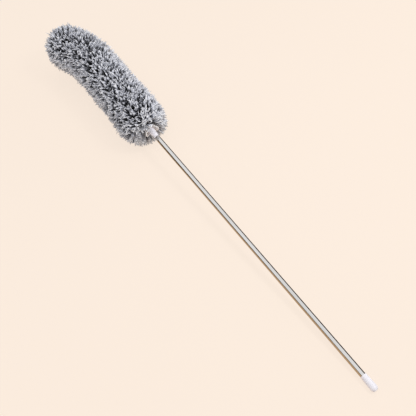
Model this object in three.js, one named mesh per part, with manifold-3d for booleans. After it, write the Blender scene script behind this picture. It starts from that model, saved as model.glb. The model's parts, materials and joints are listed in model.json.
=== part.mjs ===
// Foldable duster: telescoping steel pole, white collar and cap, bendable microfibre head.
// Millimetres. The pole lies along +X from the flat foot of its cap, and the head bends towards +Y.
import * as THREE from 'three';
import { mergeVertices } from 'three/addons/utils/BufferGeometryUtils.js';
import Module from 'manifold-3d';

const wasm = await Module();
wasm.setup();

// Pole
const outerTubeDiameter = 10;
const outerTubeLength = 597;
const tubeWall = 0.4;
const tubeSpacing = 0.4;
const mouthLength = 2.5;
const mouthClearance = 0.15;
const beadHeight = 0.2;
const beadLength = 1;
const guideLength = 40;
const guideThickness = 0.2;
const guideSlotAngle = 0.35;
const tubeEndStep = 3;

// End cap
const capLength = 29;
const capFloor = 5;
const capWall = 1.1;
const capNeckWall = 0.45;
const capNeckLength = 5;
const capTaper = 0.45;
const capDomeLength = 5;
const capFootRadius = 3;

// Collar
const collarLength = 76;
const collarConeLength = 30;
const collarMouthWall = 1.6;
const collarConeRise = 2.2;
const collarStubWall = 2.5;
const collarSocketDepth = 46;
const collarWebLength = 7;
const pinFromMouth = 42;
const pinDiameter = 2;

// Sleeve hem and its tie
const hemLength = 7;
const hemThickness = 1.4;
const hemTurn = 1.2;
const cuffLength = 19;
const cuffDip = 8;
const cuffWideRise = 7.7;
const cuffNarrowRise = 1.6;
const tieDiameter = 1.6;

// Bendable core
const coreLength = 325;
const bendLength = 103;
const bendAngle = 0.46;
const wireDiameter = 3;
const wireSpacing = 5;
const hoseWall = 1.5;
const segmentCount = 4;
const firstHinge = 122;
const hingeReach = 30;

// Tip cap
const tipCapLength = 16;
const tipCapWall = 1.3;

// Pile
const pileRadius = 51;
const pileOverhang = 32;
const pileTipReach = 41.5;
const pileRearRounding = 38;
const pileFrontRounding = 46;
const pileRearOpening = 4;
const pileFrontLean = 15;
const backingThickness = 3;
const ringsPerSegment = 6;
const strandsPerRing = 12;
const strandRootWidth = 3.4;
const strandRootReach = 2;
const strandRootDepth = 1.6;
const strandBellyWidth = 12;
const strandBellyDepth = 7;
// Share of a strand's length up to its widest place, and most of its own space that it may fill
const strandBellyAt = 0.55;
const strandFill = 0.74;
// Rings over the rounded end: root as a share of the dome's quarter turn, tip as a share of the last stretch
const frontRings = [
  { strands: 8, root: 0.4, tip: 0.5 },
  { strands: 5, root: 0.7, tip: 0.75 },
  { strands: 3, root: 0.9, tip: 0.95 },
];

// Clearances
const seatGap = 0.3;
const fitGap = 0.1;
const wireGap = 0.15;
const faceGap = 0.4;

// Roundness
const roundSides = 32;
const smallSides = 16;
const backingSides = 12;
const wireSides = 10;
const bendStep = 17;
const domeSteps = 5;

// Sizes that follow from those above
const outerRadius = outerTubeDiameter / 2;
const middleRadius = outerRadius - tubeWall - tubeSpacing;
const innerRadius = middleRadius - tubeWall - tubeSpacing;
const outerStart = capFloor + seatGap;
const poleMouth = outerStart + outerTubeLength;
const middleStart = outerStart + tubeEndStep;
const innerStart = middleStart + tubeEndStep;
const collarStart = poleMouth + faceGap;
const collarEnd = collarStart + collarLength;
const collarBore = innerRadius + fitGap;
const collarStubRadius = collarBore + collarStubWall;
const collarMouthRadius = collarBore + collarMouthWall;
const collarConeRadius = collarMouthRadius + collarConeRise;
const coreEnd = collarStart + coreLength;
const bendStart = coreEnd - bendLength;
const bendRadius = bendLength / bendAngle;
const wireRadius = wireDiameter / 2;
const hoseInnerRadius = wireSpacing / 2 + wireRadius + faceGap;
const hoseRadius = hoseInnerRadius + hoseWall;
const stubSpaceRadius = collarStubRadius + faceGap;
const hoseSpaceRadius = hoseRadius + fitGap + faceGap;
const widestSpaceRadius = Math.max(stubSpaceRadius, hoseSpaceRadius);
const backingRadius = widestSpaceRadius + backingThickness;
const hemStart = collarStart + collarConeLength + seatGap;
const hemEnd = hemStart + hemLength;
const hemInnerRadius = collarStubRadius + seatGap;
const hemRadius = hemInnerRadius + hemThickness;
const backingStart = hemEnd + seatGap;
const tipCapBore = hoseRadius + seatGap;
const tipCapRadius = tipCapBore + tipCapWall;
const tipSpaceStart = coreEnd - tipCapLength - faceGap;
const tipSpaceRadius = tipCapRadius + faceGap;
const tipBackingRadius = tipSpaceRadius + backingThickness;
const tipBackingStart = tipSpaceStart - faceGap - strandRootReach;
const pileStart = backingStart - pileOverhang;
const pileEnd = coreEnd + pileTipReach;
const segmentLength = (coreEnd - collarStart - firstHinge) / (segmentCount - 1);
const hinges = [];
for (let i = 0; i < segmentCount - 1; i++) {
  hinges.push(collarStart + firstHinge + i * segmentLength);
}

// Place and direction of the core's centre line, s along it from the foot
function centreLine(s) {
  const angle = Math.min(Math.max(s - bendStart, 0), bendLength) / bendRadius;
  const past = Math.max(s - coreEnd, 0);
  const before = Math.min(s, bendStart);
  const along = new THREE.Vector3(Math.cos(angle), Math.sin(angle), 0);
  const place = new THREE.Vector3(
    before + bendRadius * Math.sin(angle),
    bendRadius * (1 - Math.cos(angle)),
    0,
  );
  place.addScaledVector(along, past);
  const side = new THREE.Vector3(-Math.sin(angle), Math.cos(angle), 0);
  return { place, side };
}

// Point at s along the core, radius out from it, turned by phi from the bend's side
function aroundCore(s, radius, phi) {
  const { place, side } = centreLine(s);
  place.addScaledVector(side, radius * Math.cos(phi));
  place.z += radius * Math.sin(phi);
  return place;
}

// Closed body from points and triangles, turned to face out
function bodyGeometry(points, triangles) {
  let volume = 0;
  for (const [a, b, c] of triangles) {
    volume += points[a].dot(new THREE.Vector3().crossVectors(points[b], points[c]));
  }
  const index = [];
  for (const [a, b, c] of triangles) {
    index.push(a, volume < 0 ? c : b, volume < 0 ? b : c);
  }
  const geometry = new THREE.BufferGeometry();
  geometry.setAttribute('position', new THREE.Float32BufferAttribute(points.flatMap((p) => p.toArray()), 3));
  geometry.setIndex(index);
  return geometry;
}

// Rings of equal size joined one to the next, closed at both ends or back to the first
function loft(rings, closesOnItself) {
  const sides = rings[0].length;
  const points = rings.flat();
  const triangles = [];
  const joins = closesOnItself ? rings.length : rings.length - 1;
  for (let i = 0; i < joins; i++) {
    const from = i * sides;
    const to = ((i + 1) % rings.length) * sides;
    for (let j = 0; j < sides; j++) {
      const k = (j + 1) % sides;
      triangles.push([from + j, from + k, to + k], [from + j, to + k, to + j]);
    }
  }
  if (!closesOnItself) {
    const last = (rings.length - 1) * sides;
    for (let j = 1; j < sides - 1; j++) {
      triangles.push([0, j + 1, j], [last, last + j, last + j + 1]);
    }
  }
  return bodyGeometry(points, triangles);
}

// Ring of points round the core
function coreRing(s, radius, sides) {
  const ring = [];
  for (let j = 0; j < sides; j++) {
    ring.push(aroundCore(s, radius, (2 * Math.PI * j) / sides));
  }
  return ring;
}

// Stations along the core from one end to the other, closer where it bends
function stations(from, to) {
  const list = [from];
  const first = Math.max(from, bendStart);
  const last = Math.min(to, coreEnd);
  if (last > first) {
    if (first > from) {
      list.push(first);
    }
    const steps = Math.ceil((last - first) / bendStep);
    for (let i = 1; i < steps; i++) {
      list.push(first + ((last - first) * i) / steps);
    }
    if (last < to) {
      list.push(last);
    }
  }
  list.push(to);
  return list;
}

// Rings of a stretch of the core, all of one radius
function tubeRings(from, to, radius, sides) {
  return stations(from, to).map((s) => coreRing(s, radius, sides));
}

// Pipe between rings outside and inside, both from the same end
function pipe(outside, inside) {
  return loft([...outside, ...inside.toReversed()], true);
}

// Round rod beside the core's centre line, at a height over it
function coreRod(from, to, radius, height, sides) {
  const rings = stations(from, to).map((s) => {
    const ring = [];
    const { place, side } = centreLine(s);
    for (let j = 0; j < sides; j++) {
      const phi = (2 * Math.PI * j) / sides;
      const point = place.clone().addScaledVector(side, radius * Math.cos(phi));
      point.z += height + radius * Math.sin(phi);
      ring.push(point);
    }
    return ring;
  });
  return loft(rings, false);
}

// Turned body about the pole's axis from [x, radius] points
function turned(profile, sides) {
  const outline = profile.map(([x, radius]) => new THREE.Vector2(radius, x));
  const geometry = new THREE.LatheGeometry(outline, sides);
  geometry.rotateZ(-Math.PI / 2);
  geometry.deleteAttribute('normal');
  geometry.deleteAttribute('uv');
  return mergeVertices(geometry, 1e-4);
}

function toSolid(geometry) {
  const mesh = new wasm.Mesh({
    numProp: 3,
    vertProperties: new Float32Array(geometry.getAttribute('position').array),
    triVerts: new Uint32Array(geometry.getIndex().array),
  });
  return new wasm.Manifold(mesh);
}

function toGeometry(solid) {
  const mesh = solid.getMesh();
  const geometry = new THREE.BufferGeometry();
  geometry.setAttribute('position', new THREE.Float32BufferAttribute(mesh.vertProperties, 3));
  geometry.setIndex(Array.from(mesh.triVerts));
  return geometry;
}

// Cross drilling through the pole's axis, along Y
function crossRod(x, radius, length, sides) {
  const geometry = new THREE.CylinderGeometry(radius, radius, length, sides);
  geometry.translate(x, 0, 0);
  geometry.deleteAttribute('normal');
  geometry.deleteAttribute('uv');
  return mergeVertices(geometry, 1e-4);
}

function endCap() {
  const bore = outerRadius + fitGap;
  const neck = bore + capNeckWall;
  const mouth = bore + capWall - capTaper;
  const foot = bore + capWall;
  const shoulder = capLength - capNeckLength;
  const profile = [[0, 0], [0, capFootRadius]];
  for (let i = 1; i <= domeSteps; i++) {
    const turn = (Math.PI / 2) * (i / domeSteps);
    const reach = (foot - capFootRadius) * Math.sin(turn);
    profile.push([capDomeLength * (1 - Math.cos(turn)), capFootRadius + reach]);
  }
  profile.push([shoulder - seatGap, mouth], [shoulder, mouth - fitGap], [shoulder, neck]);
  profile.push([capLength - fitGap, neck], [capLength, neck - fitGap], [capLength, bore]);
  profile.push([capFloor, bore], [capFloor, 0]);
  return turned(profile, roundSides);
}

// Tube with a rolled-in mouth, which stops the bead of the next tube
function outerTube() {
  const bore = outerRadius - tubeWall;
  const lip = middleRadius + mouthClearance;
  return turned([
    [outerStart, outerRadius],
    [poleMouth - mouthLength / 2, outerRadius],
    [poleMouth - tubeWall / 2, outerRadius - tubeWall / 2],
    [poleMouth, bore],
    [poleMouth, lip],
    [poleMouth - mouthLength, lip],
    [poleMouth - mouthLength, bore],
    [outerStart, bore],
    [outerStart, outerRadius],
  ], roundSides);
}

// Beads at the lower end of a sliding tube, which hold its friction sleeve between them
function beadedEnd(start, radius) {
  const bead = radius + beadHeight;
  const first = start + beadLength;
  const second = first + guideLength;
  return [
    [start, bead],
    [first, bead],
    [first, radius],
    [second, radius],
    [second, bead],
    [second + beadLength, bead],
    [second + beadLength, radius],
  ];
}

function middleTube() {
  const bore = middleRadius - tubeWall;
  const lip = innerRadius + mouthClearance;
  return turned([
    ...beadedEnd(middleStart, middleRadius),
    [poleMouth - tubeWall / 2, middleRadius],
    [poleMouth, middleRadius - tubeWall / 2],
    [poleMouth, lip],
    [poleMouth - mouthLength, lip],
    [poleMouth - mouthLength, bore],
    [middleStart, bore],
    [middleStart, middleRadius + beadHeight],
  ], roundSides);
}

function innerTube() {
  const bore = innerRadius - tubeWall;
  const top = collarStart + collarSocketDepth - seatGap;
  const plain = turned([
    ...beadedEnd(innerStart, innerRadius),
    [top, innerRadius],
    [top, bore],
    [innerStart, bore],
    [innerStart, innerRadius + beadHeight],
  ], roundSides);
  return toGeometry(toSolid(plain).subtract(pinHole()));
}

// Split sleeve that grips between a sliding tube and the bore it runs in
function frictionSleeve(start, radius) {
  const inner = radius + fitGap;
  const outer = inner + guideThickness;
  const from = start + beadLength + fitGap;
  const to = start + beadLength + guideLength - fitGap;
  const rings = [];
  for (let i = 0; i <= roundSides; i++) {
    const phi = guideSlotAngle / 2 + ((2 * Math.PI - guideSlotAngle) * i) / roundSides;
    const corner = (x, r) => new THREE.Vector3(x, r * Math.cos(phi), r * Math.sin(phi));
    rings.push([corner(from, inner), corner(from, outer), corner(to, outer), corner(to, inner)]);
  }
  return loft(rings, false);
}

function pinHole() {
  const length = 4 * collarStubRadius;
  return toSolid(crossRod(collarStart + pinFromMouth, pinDiameter / 2 + fitGap, length, smallSides));
}

function collarPin() {
  const length = 2 * (collarStubRadius - seatGap);
  return crossRod(collarStart + pinFromMouth, pinDiameter / 2, length, smallSides);
}

function collar() {
  const coneEnd = collarStart + collarConeLength;
  const socketEnd = collarStart + collarSocketDepth;
  let solid = toSolid(turned([
    [collarStart, collarBore],
    [collarStart, collarMouthRadius - fitGap],
    [collarStart + fitGap, collarMouthRadius],
    [coneEnd - seatGap, collarConeRadius],
    [coneEnd, collarConeRadius - seatGap],
    [coneEnd, collarStubRadius],
    [collarEnd - seatGap, collarStubRadius],
    [collarEnd, collarStubRadius - seatGap],
    [collarEnd, 0],
    [socketEnd, 0],
    [socketEnd, collarBore],
    [collarStart, collarBore],
  ], roundSides));
  solid = solid.subtract(pinHole());
  const from = socketEnd + collarWebLength;
  for (const height of wireHeights()) {
    const socket = coreRod(from, collarEnd + seatGap, wireRadius + wireGap, height, smallSides);
    solid = solid.subtract(toSolid(socket));
  }
  return toGeometry(solid);
}

function wireHeights() {
  return [wireSpacing / 2, -wireSpacing / 2];
}

// Hem seated on the collar's stub, turned out over the collar's cone into a cuff.
// The sleeve is sewn flat, so the cuff is wide and long to both sides, narrow and short above and below.
function hemCuff() {
  const turnRadius = collarConeRadius + faceGap;
  const mouth = hemStart - cuffLength;
  const seat = hemStart + hemTurn;
  const rings = (inset) => {
    const lip = [];
    for (let j = 0; j < smallSides; j++) {
      const phi = (2 * Math.PI * j) / smallSides;
      const wide = Math.cos(phi) ** 2;
      const rise = cuffNarrowRise + (cuffWideRise - cuffNarrowRise) * wide;
      lip.push(aroundCore(mouth + cuffDip * (1 - wide), collarConeRadius + rise - inset, phi));
    }
    return [
      lip,
      coreRing(hemStart, turnRadius + hemThickness - inset, smallSides),
      coreRing(seat, hemRadius - inset, smallSides),
      coreRing(hemEnd, hemRadius - inset, smallSides),
    ];
  };
  return pipe(rings(0), rings(hemThickness));
}

function hemTie() {
  const middle = (hemStart + hemTurn + hemEnd) / 2;
  const radius = hemRadius + fitGap + tieDiameter / 2;
  const profile = [];
  for (let i = 0; i < wireSides; i++) {
    const turn = (-2 * Math.PI * i) / wireSides;
    profile.push([middle + (tieDiameter / 2) * Math.cos(turn), radius + (tieDiameter / 2) * Math.sin(turn)]);
  }
  profile.push(profile[0]);
  return turned(profile, smallSides);
}

// Gap that two square-ended rods of this radius need to turn by hingeReach about their meeting point
function hingeGap(radius, clearance) {
  return radius * Math.tan(THREE.MathUtils.degToRad(hingeReach) / 2) + clearance;
}

// Ends of a segment of the core, drawn back from its hinges
function segmentSpan(i, from, to, gap) {
  const start = i === 0 ? from : hinges[i - 1] + gap;
  const end = i === segmentCount - 1 ? to : hinges[i] - gap;
  return [start, end];
}

function wire(i, height) {
  const from = collarStart + collarSocketDepth + collarWebLength + seatGap;
  const [start, end] = segmentSpan(i, from, coreEnd - seatGap, hingeGap(wireRadius, wireGap));
  return coreRod(start, end, wireRadius, height, wireSides);
}

function hose(i) {
  const [start, end] = segmentSpan(i, collarEnd + seatGap, coreEnd - seatGap, hingeGap(hoseRadius, seatGap));
  return pipe(
    tubeRings(start, end, hoseRadius, smallSides),
    tubeRings(start, end, hoseInnerRadius, smallSides),
  );
}

// Rings of a half round that closes a body at the core's end
function domeRings(radius, sides) {
  const rings = [];
  for (let i = 1; i < domeSteps; i++) {
    const turn = (Math.PI / 2) * (i / domeSteps);
    rings.push(coreRing(coreEnd + radius * Math.sin(turn), radius * Math.cos(turn), sides));
  }
  return rings;
}

// Cup over the end of the hose, closed by a half round
function tipCap() {
  const start = coreEnd - tipCapLength;
  const outside = tubeRings(start, coreEnd, tipCapRadius, smallSides);
  const inside = tubeRings(start - seatGap, coreEnd, tipCapBore, smallSides);
  const whole = toSolid(loft([...outside, ...domeRings(tipCapRadius, smallSides)], false));
  return toGeometry(whole.subtract(toSolid(loft(inside, false))));
}

// Radius of the pile's outline at s along the core
function pileOutline(s) {
  const rear = Math.min((s - pileStart) / pileRearRounding, 1);
  const front = Math.min((pileEnd - s) / pileFrontRounding, 1);
  const end = Math.max(Math.min(rear, front), 0);
  return pileRadius * Math.sqrt(1 - (1 - end) ** 2);
}

// Even share in 0..1 that looks unordered, the same at every run
function scatter(n) {
  const wave = Math.sin(n * 12.9898 + 4.137) * 43758.5453;
  return wave - Math.floor(wave);
}

// Three-sided strand from its root to its tip, both as [s, radius].
// share is its own angle of the ring and pitch its own stretch of the core.
function strand(root, tip, phi, share, pitch) {
  const at = (part, aside, ahead) => {
    const s = root[0] + (tip[0] - root[0]) * part;
    const radius = root[1] + (tip[1] - root[1]) * part;
    return aroundCore(s + ahead, radius, phi + aside / radius);
  };
  const triangle = (part, mostWidth, mostDepth) => {
    const radius = root[1] + (tip[1] - root[1]) * part;
    const width = Math.min(mostWidth, share * radius * strandFill);
    const depth = Math.min(mostDepth, pitch * strandFill);
    return [at(part, -width / 2, -depth / 2), at(part, width / 2, -depth / 2), at(part, 0, depth / 2)];
  };
  const points = [
    ...triangle(0, strandRootWidth, strandRootReach),
    ...triangle(strandBellyAt, strandBellyWidth, strandBellyDepth),
    at(1, 0, 0),
  ];
  const triangles = [[0, 2, 1], [3, 4, 6], [4, 5, 6], [5, 3, 6]];
  for (let j = 0; j < 3; j++) {
    const k = (j + 1) % 3;
    triangles.push([j, k, 3 + k], [j, 3 + k, 3 + j]);
  }
  return bodyGeometry(points, triangles);
}

// Sleeve backing of one segment: over the collar's stub on the first, closed round the tip cap on the last
function backing(i, start, end) {
  const tube = (from, to, radius) => tubeRings(from, to, radius, backingSides);
  if (i === 0) {
    const inside = [
      ...tube(start, collarEnd - 2 * faceGap, stubSpaceRadius),
      ...tube(collarEnd - faceGap, collarEnd + faceGap, widestSpaceRadius),
      ...tube(collarEnd + 2 * faceGap, end, hoseSpaceRadius),
    ];
    return toSolid(pipe(tube(start, end, backingRadius), inside));
  }
  if (i < segmentCount - 1) {
    return toSolid(pipe(tube(start, end, backingRadius), tube(start, end, hoseSpaceRadius)));
  }
  const outside = [
    ...tube(start, tipBackingStart - faceGap, backingRadius),
    ...tube(tipBackingStart, coreEnd, tipBackingRadius),
    ...domeRings(tipBackingRadius, backingSides),
  ];
  const inside = [
    ...tube(start - seatGap, tipSpaceStart - faceGap, hoseSpaceRadius),
    ...tube(tipSpaceStart, coreEnd, tipSpaceRadius),
    ...domeRings(tipSpaceRadius, backingSides),
  ];
  return toSolid(loft(outside, false)).subtract(toSolid(loft(inside, false)));
}

// Strands stand in rings. Their tips keep the order of their roots, so that none cross.
function pile(i) {
  const isLast = i === segmentCount - 1;
  const [start, end] = segmentSpan(i, backingStart, coreEnd, seatGap / 2);
  const tipStart = i === 0 ? pileStart + pileRearOpening : start;
  const tipEnd = isLast ? coreEnd + pileFrontLean : end;
  const pitch = (end - start) / ringsPerSegment;
  const share = (2 * Math.PI) / strandsPerRing;
  let solid = backing(i, start, end);
  for (let ring = 0; ring < ringsPerSegment; ring++) {
    const along = (ring + 0.5) / ringsPerSegment;
    const count = i * ringsPerSegment + ring;
    const rootS = start + (end - start) * along;
    const isOnTip = rootS - strandRootReach / 2 > tipBackingStart;
    const surface = isOnTip ? tipBackingRadius : backingRadius;
    for (let k = 0; k < strandsPerRing; k++) {
      const phi = share * (k + (count % 2) / 2);
      const shift = (scatter(count * strandsPerRing + k) - 0.5) * pitch * (1 - strandFill);
      const tipS = tipStart + (tipEnd - tipStart) * along + shift;
      const root = [rootS, surface - strandRootDepth];
      solid = solid.add(toSolid(strand(root, [tipS, pileOutline(tipS)], phi, share, pitch)));
    }
  }
  if (isLast) {
    const rootRadius = tipBackingRadius - strandRootDepth;
    for (const { strands, root, tip } of frontRings) {
      const turn = (Math.PI / 2) * root;
      const from = [coreEnd + rootRadius * Math.sin(turn), rootRadius * Math.cos(turn)];
      const tipS = tipEnd + (pileEnd - tipEnd) * tip;
      for (let k = 0; k < strands; k++) {
        const frontShare = (2 * Math.PI) / strands;
        const phi = frontShare * (k + root);
        solid = solid.add(toSolid(strand(from, [tipS, pileOutline(tipS)], phi, frontShare, pitch / 2)));
      }
    }
  }
  return toGeometry(solid);
}

const steel = { color: 0xc9cbcd, roughness: 0.18, metalness: 1 };
const wireSteel = { color: 0x8d8f92, roughness: 0.45, metalness: 1 };
const whitePlastic = { color: 0xeceef0, roughness: 0.35, metalness: 0 };
const hosePlastic = { color: 0xd8d8d4, roughness: 0.5, metalness: 0 };
const bushPlastic = { color: 0xe2e0d8, roughness: 0.5, metalness: 0 };
const hemCloth = { color: 0xe4e2de, roughness: 0.9, metalness: 0 };
const greyPile = { color: 0x8e9196, roughness: 0.95, metalness: 0 };

const duster = new THREE.Group();
duster.name = 'foldable_duster';

function addPiece(name, geometry, look) {
  const mesh = new THREE.Mesh(geometry, new THREE.MeshStandardMaterial(look));
  mesh.name = name;
  duster.add(mesh);
}

addPiece('end_cap', endCap(), whitePlastic);
addPiece('outer_tube', outerTube(), steel);
addPiece('middle_tube', middleTube(), steel);
addPiece('middle_friction_sleeve', frictionSleeve(middleStart, middleRadius), bushPlastic);
addPiece('inner_tube', innerTube(), steel);
addPiece('inner_friction_sleeve', frictionSleeve(innerStart, innerRadius), bushPlastic);
addPiece('collar', collar(), whitePlastic);
addPiece('collar_pin', collarPin(), wireSteel);
addPiece('hem_cuff', hemCuff(), hemCloth);
addPiece('hem_tie', hemTie(), hemCloth);
for (let i = 0; i < segmentCount; i++) {
  const [upper, lower] = wireHeights();
  addPiece(`upper_wire_${i + 1}`, wire(i, upper), wireSteel);
  addPiece(`lower_wire_${i + 1}`, wire(i, lower), wireSteel);
  addPiece(`hose_${i + 1}`, hose(i), hosePlastic);
  addPiece(`pile_${i + 1}`, pile(i), greyPile);
}
addPiece('tip_cap', tipCap(), whitePlastic);

export default duster;
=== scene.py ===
"""Looks of the foldable duster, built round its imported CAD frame.

The rigid pieces follow their CAD nodes. The soft pieces, which are the pile, its backing, the hem
cuff and its tie, are made here. Sizes are millimetres in the CAD frame, and meshes are in metres.
"""

import json
import logging
import math
from dataclasses import dataclass, field
from enum import Enum
from typing import Any, Mapping, Sequence

import bpy
import numpy as np
from mathutils import Matrix, Vector

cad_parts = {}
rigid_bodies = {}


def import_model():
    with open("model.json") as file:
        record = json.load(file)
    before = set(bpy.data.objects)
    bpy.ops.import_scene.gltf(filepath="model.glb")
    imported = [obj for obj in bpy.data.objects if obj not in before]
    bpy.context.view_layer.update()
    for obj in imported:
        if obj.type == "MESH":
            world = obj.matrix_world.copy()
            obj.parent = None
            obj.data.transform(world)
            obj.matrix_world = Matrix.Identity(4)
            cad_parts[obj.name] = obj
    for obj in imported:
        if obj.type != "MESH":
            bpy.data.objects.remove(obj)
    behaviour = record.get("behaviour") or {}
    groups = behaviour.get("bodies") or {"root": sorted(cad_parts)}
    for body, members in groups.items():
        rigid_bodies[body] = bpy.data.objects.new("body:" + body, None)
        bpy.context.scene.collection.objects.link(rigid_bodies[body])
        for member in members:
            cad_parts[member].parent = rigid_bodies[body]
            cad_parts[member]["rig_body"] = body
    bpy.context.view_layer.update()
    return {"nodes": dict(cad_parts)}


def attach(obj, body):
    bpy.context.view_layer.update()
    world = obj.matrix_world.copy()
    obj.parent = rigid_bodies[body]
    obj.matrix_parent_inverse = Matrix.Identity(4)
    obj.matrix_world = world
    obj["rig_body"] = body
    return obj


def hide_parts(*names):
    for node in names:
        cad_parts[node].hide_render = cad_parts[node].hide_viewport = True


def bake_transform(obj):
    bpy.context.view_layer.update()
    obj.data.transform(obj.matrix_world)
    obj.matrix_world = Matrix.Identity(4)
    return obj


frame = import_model()

MM = 0.001
BAKE_MAP = "OFBake"
WEAVE_MAP = "weave"
SHARP_ANGLE = math.radians(28)
# Points whose places are the same to this many digits of a metre are welded.
WELD_DIGITS = 7
GOLDEN_ANGLE = math.pi * (3 - math.sqrt(5))
# Most values of a noise texture lie between these two.
GRAIN_LOW, GRAIN_HIGH = 0.3, 0.7
# The stretches of x that the large cards run over, and the heights where they end.
WIDE = (-2500.0, 4500.0)
HALF = (-1500.0, 3500.0)
TOP = 1490.0
LOW = -200.0

log = logging.getLogger("duster")

Inputs = dict[str | int, Any]
Stops = Sequence[tuple[float, str]]
Place = tuple[float, float, float]
Pair = tuple[float, float]


class Body(str, Enum):
    """The CAD bodies that the head's pieces ride on."""

    ROOT = "head_root"
    LOWER = "head_lower"
    UPPER = "head_upper"
    TIP = "head_tip"


class Slot(str, Enum):
    """The record's material slots."""

    STEEL = "pole_steel"
    WIRE = "soft_steel"
    WHITE = "white_plastic"
    HOSE = "hose_plastic"
    SLEEVE = "sleeve_plastic"
    HEM = "hem_fabric"
    YARN = "microfibre"


def linear(colour: str) -> tuple[float, float, float, float]:
    """Turns an sRGB hex colour to linear.

    Args:
        colour: six hex digits with a leading #.

    Returns:
        Red, green, blue and alpha, linear.
    """
    shares = [int(colour[i : i + 2], 16) / 255 for i in (1, 3, 5)]
    red, green, blue = [
        c / 12.92 if c <= 0.04045 else ((c + 0.055) / 1.055) ** 2.4 for c in shares
    ]
    return red, green, blue, 1.0


def per_metre(size: float) -> float:
    """Texture scale of a pattern whose repeat is size millimetres."""
    return 1 / (size * MM)


def add_node(
    tree: bpy.types.NodeTree,
    kind: str,
    inputs: Inputs | None = None,
    stops: Stops = (),
    **settings: Any,
) -> bpy.types.Node:
    """Adds a node with its settings and links.

    Args:
        tree: the node tree.
        kind: the node's type name without its ShaderNode prefix.
        inputs: for each input, a value, an output socket, or a node whose first output feeds it.
        stops: a colour ramp's places with their sRGB hex colours, in order.
        settings: the node's own properties.

    Returns:
        The new node.
    """
    node = tree.nodes.new("ShaderNode" + kind)
    for name, value in settings.items():
        setattr(node, name, value)
    for i, (place, colour) in enumerate(stops):
        elements = node.color_ramp.elements
        element = elements[i] if i < len(elements) else elements.new(place)
        element.position = place
        element.color = linear(colour)
    for key, value in (inputs or {}).items():
        if isinstance(value, bpy.types.Node):
            value = next(socket for socket in value.outputs if socket.enabled)
        if isinstance(value, bpy.types.NodeSocket):
            tree.links.new(value, node.inputs[key])
        else:
            node.inputs[key].default_value = value
    return node


def seen_rays(tree: bpy.types.NodeTree) -> bpy.types.Node:
    """Finds the rays that the eye follows, straight or by a mirror or glass.

    Args:
        tree: the node tree.

    Returns:
        A node that gives 1 for such a ray and 0 for the others.
    """
    path = add_node(tree, "LightPath").outputs
    bent = {0: path["Is Glossy Ray"], 1: path["Is Transmission Ray"]}
    mirrored = add_node(tree, "Math", bent, operation="MAXIMUM")
    return add_node(tree, "Math", {0: path["Is Camera Ray"], 1: mirrored}, operation="MAXIMUM")


@dataclass(frozen=True)
class Finish:
    """A real material and how its surface was made."""

    name: str
    slot: Slot | None
    colour: str
    shade: str
    roughness: float
    ior: float = 1.5
    metallic: float = 0.0
    # The least and the most roughness, as shares of the finish's own.
    gloss_spread: Pair = (0.85, 1.2)

    def material(self) -> bpy.types.Material:
        """The finish's material, made at its first use.

        Returns:
            The material.
        """
        made = bpy.data.materials.get(self.name)
        if made is not None:
            return made
        made = bpy.data.materials.new(self.name)
        made.use_nodes = True
        # Cards and paper that show their own tone aren't lamps, and aren't sampled as such.
        made.cycles.emission_sampling = "NONE"
        tree = made.node_tree
        tree.nodes.clear()
        plain = {"Metallic": self.metallic, "Roughness": self.roughness, "IOR": self.ior}
        shader = add_node(tree, "BsdfPrincipled", plain | self.pattern(tree))
        add_node(tree, "OutputMaterial", {"Surface": self.surface(tree, shader)})
        return made

    def pattern(self, tree: bpy.types.NodeTree) -> Inputs:
        """Draws what the surface shows beyond a plain colour; each finish has its own.

        Args:
            tree: the node tree.

        Returns:
            What feeds the shader's inputs.
        """
        raise NotImplementedError(self.name)

    def surface(self, tree: bpy.types.NodeTree, shader: bpy.types.Node) -> bpy.types.Node:
        """The node that the material shows, which is the shader on the object's own finishes."""
        return shader

    def grain(
        self, tree: bpy.types.NodeTree, size: Sequence[float], detail: float = 2.0
    ) -> bpy.types.Node:
        """Draws a grain that stays in place on the object.

        Args:
            tree: the node tree.
            size: the grain's length along x, y and z, in millimetres.
            detail: how many finer layers are added.

        Returns:
            A node that gives the grain, mostly from GRAIN_LOW to GRAIN_HIGH.
        """
        place = add_node(tree, "TexCoord").outputs["Object"]
        scale = [per_metre(length) for length in size]
        scaled = add_node(tree, "Mapping", {"Vector": place, "Scale": scale})
        return add_node(tree, "TexNoise", {"Vector": scaled, "Scale": 1.0, "Detail": detail})

    def tones(self) -> Stops:
        """Ramp stops that spread a grain from the shade to the colour."""
        return ((GRAIN_LOW, self.shade), (GRAIN_HIGH, self.colour))

    def gloss(self, grain: bpy.types.Node) -> Inputs:
        """Map range inputs that spread a grain over the roughness.

        Args:
            grain: the grain.

        Returns:
            The inputs.
        """
        low, high = (self.roughness * share for share in self.gloss_spread)
        ends = {"From Min": GRAIN_LOW, "From Max": GRAIN_HIGH, "To Min": low, "To Max": high}
        return {"Value": grain} | ends


@dataclass(frozen=True)
class DrawnStainless(Finish):
    """Stainless tube, drawn and polished: a mirror with faint lines along the tube."""

    line_length: float = 160.0
    # Draw lines are some 0.05 mm apart; they are drawn at 0.8 mm so that they show.
    line_spacing: float = 0.8
    line_depth: float = 0.003
    line_strength: float = 0.2
    line_layers: float = 3.0
    smudge_length: float = 140.0
    smudge_width: float = 4.5
    gloss_spread: Pair = (0.7, 1.5)

    def pattern(self, tree: bpy.types.NodeTree) -> Inputs:
        """Draw lines vary the gloss, and smudges the tone.

        Args:
            tree: the node tree.

        Returns:
            What feeds the shader's inputs.
        """
        line = (self.line_length, self.line_spacing, self.line_spacing)
        lines = self.grain(tree, line, self.line_layers)
        smudges = self.grain(tree, (self.smudge_length, self.smudge_width, self.smudge_width))
        depth = self.line_depth * MM
        raised = {"Height": lines, "Distance": depth, "Strength": self.line_strength}
        return {
            "Base Color": add_node(tree, "ValToRGB", {"Fac": smudges}, self.tones()),
            "Roughness": add_node(tree, "MapRange", self.gloss(lines)),
            "Normal": add_node(tree, "Bump", raised),
        }


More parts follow.
